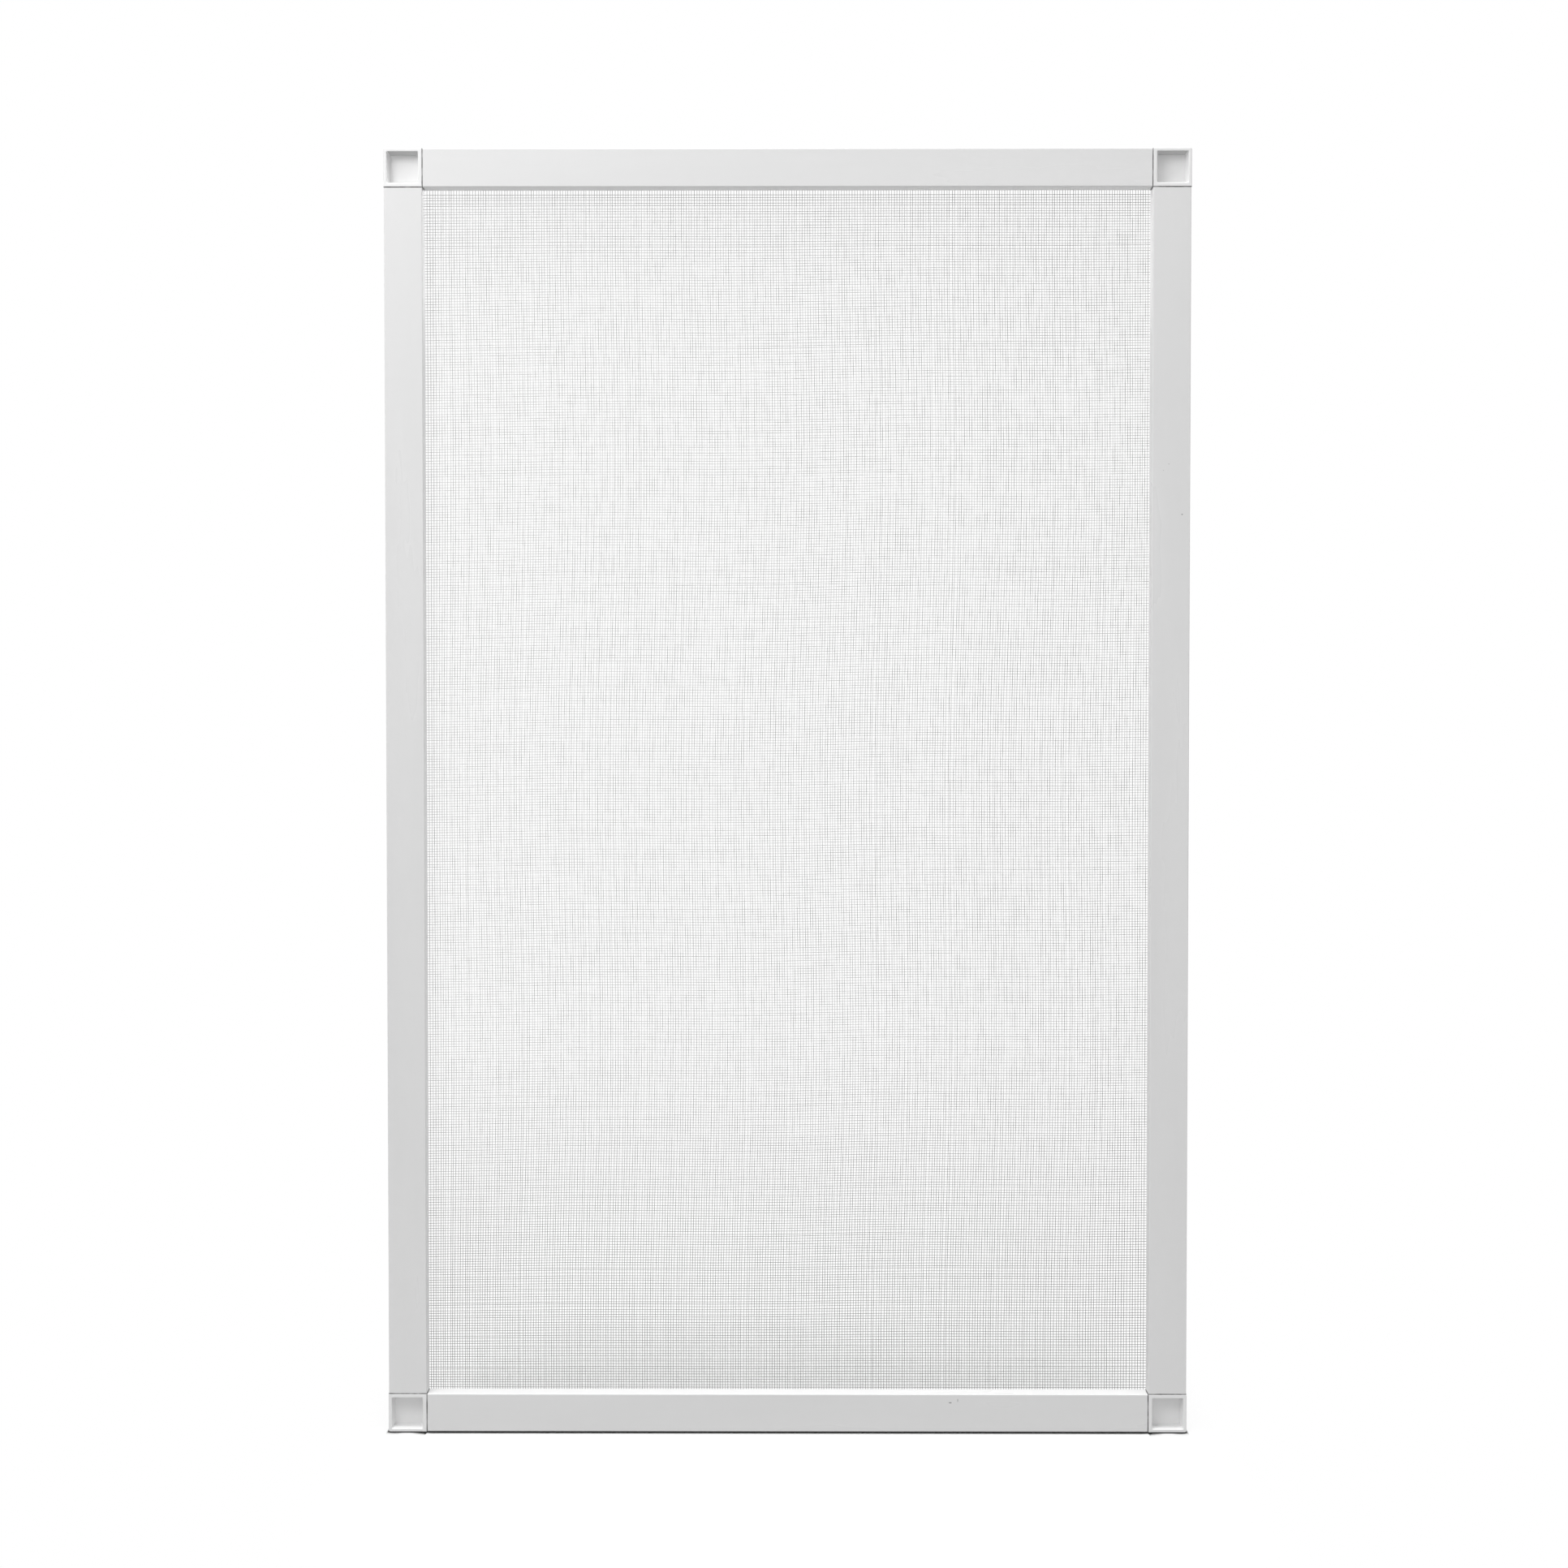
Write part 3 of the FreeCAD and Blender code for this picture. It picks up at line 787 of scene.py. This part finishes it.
floor_look = bpy.data.materials.new("white_floor")
floor_look.use_nodes = True
tree = floor_look.node_tree
tree.nodes.clear()
spot = add_node(tree, "ShaderNodeNewGeometry")
where = add_node(tree, "ShaderNodeSeparateXYZ", inputs={0: spot.outputs["Position"]})
contact = add_node(tree, "ShaderNodeAmbientOcclusion", samples=16,
                   inputs={"Distance": CONTACT_REACH})
by_corner = distance_ramp(tree, where.outputs["X"], CORNER_X, CORNER_X + CORNER_EDGE)
firmer = add_node(tree, "ShaderNodeMath", operation="MULTIPLY_ADD",
                  inputs={0: by_corner, 1: TAKEN_OFF_AT_CORNERS, 2: contact.outputs["AO"]})
open_floor = add_node(tree, "ShaderNodeMapRange", interpolation_type="SMOOTHSTEP",
                      inputs={"Value": firmer.outputs[0], "From Min": SHADED_BELOW,
                              "From Max": OPEN_ABOVE, "To Min": DARKEST})
past_end = distance_ramp(tree, where.outputs["X"], END_X, END_X + END_EDGE)
floor_light = add_node(tree, "ShaderNodeMath", operation="MAXIMUM",
                       inputs={0: open_floor.outputs[0], 1: past_end})
lit_white = mix_colour(tree, floor_light.outputs[0], grey(0.0), grey(LIT_WHITE))
near_floor = add_node(tree, "ShaderNodeBsdfDiffuse", inputs={"Color": lit_white})
own_white = mix_colour(tree, floor_light.outputs[0], grey(0.0), grey(1.0))
far_floor = add_node(tree, "ShaderNodeEmission", inputs={"Color": own_white, "Strength": 1.0})
far_off = add_node(tree, "ShaderNodeMath", operation="MAXIMUM",
                   inputs={0: distance_ramp(tree, where.outputs["X"], *SIDE_FADE),
                           1: distance_ramp(tree, where.outputs["Y"], *BACK_FADE)})
fade = add_node(tree, "ShaderNodeMath", operation="MAXIMUM",
                inputs={0: far_off.outputs[0], 1: OWN_WHITE})
grains = add_node(tree, "ShaderNodeVectorMath", operation="SCALE",
                  inputs={0: spot.outputs["Position"], "Scale": GRAINS_PER_M})
dice = add_node(tree, "ShaderNodeTexWhiteNoise", inputs={"Vector": grains.outputs[0]})
is_far = add_node(tree, "ShaderNodeMath", operation="LESS_THAN",
                  inputs={0: dice.outputs["Value"], 1: fade.outputs[0]})
seen_floor = add_node(tree, "ShaderNodeMixShader",
                      inputs={0: is_far.outputs[0], 1: near_floor.outputs[0], 2: far_floor.outputs[0]})
bounce_floor = add_node(tree, "ShaderNodeBsdfDiffuse", inputs={"Color": grey(BOUNCE_GREY)})
floor_shader = add_node(tree, "ShaderNodeMixShader",
                        inputs={0: seen_directly(tree), 1: bounce_floor.outputs[0],
                                2: seen_floor.outputs[0]})
add_node(tree, "ShaderNodeOutputMaterial", inputs={"Surface": floor_shader.outputs[0]})
floor_mesh.materials.append(floor_look)
print("floor finish:", len(tree.nodes), "nodes")

# %% [markdown]
# The light is a plain studio set-up. A small soft lamp hangs quite near the upper left
# of the frame, so that corner is the brightest and the lower right the dimmest, as in
# the photo. A larger one stands in front and high up, and a broad one hangs straight
# above and brightens what faces up. A weak one stands behind, so that the paint is
# pale from there too. The white surroundings fill the shadows.

# %% Lamps and surroundings
MIDDLE_OF_SCREEN, FOOT_OF_SCREEN = (0.0, 0.0, 0.45), (0.0, 0.0, 0.0)
FILL = 0.51


def soft_lamp(name, place, aim, sides, watts):
    """A rectangular lamp at a place, turned to what it lights."""
    data = bpy.data.lights.new(name, "AREA")
    data.shape, data.energy = "RECTANGLE", watts
    data.size, data.size_y = sides
    lamp = bpy.data.objects.new(name, data)
    lamp.location = place
    lamp.rotation_mode = "QUATERNION"
    lamp.rotation_quaternion = (Vector(aim) - Vector(place)).to_track_quat("-Z", "Y")
    scene.collection.objects.link(lamp)


soft_lamp("upper_left_lamp", (-0.7, -0.7, 1.3), MIDDLE_OF_SCREEN, sides=(0.5, 0.5), watts=4.6)
soft_lamp("front_lamp", (-0.4, -1.4, 2.4), MIDDLE_OF_SCREEN, sides=(1.0, 1.0), watts=6.0)
soft_lamp("top_lamp", (0.0, -0.35, 3.0), FOOT_OF_SCREEN, sides=(1.6, 0.6), watts=56.0)
soft_lamp("back_lamp", (0.3, 1.8, 1.6), MIDDLE_OF_SCREEN, sides=(1.2, 1.2), watts=7.0)
world = bpy.data.worlds.new("white_room")
scene.world = world
world.use_nodes = True
tree = world.node_tree
tree.nodes.clear()
fill = add_node(tree, "ShaderNodeBackground", inputs={"Color": grey(1.0), "Strength": FILL})
white = add_node(tree, "ShaderNodeBackground", inputs={"Color": grey(1.0), "Strength": 1.0})
room = add_node(tree, "ShaderNodeMixShader",
                inputs={0: seen_directly(tree), 1: fill.outputs[0], 2: white.outputs[0]})
add_node(tree, "ShaderNodeOutputWorld", inputs={"Surface": room.outputs[0]})
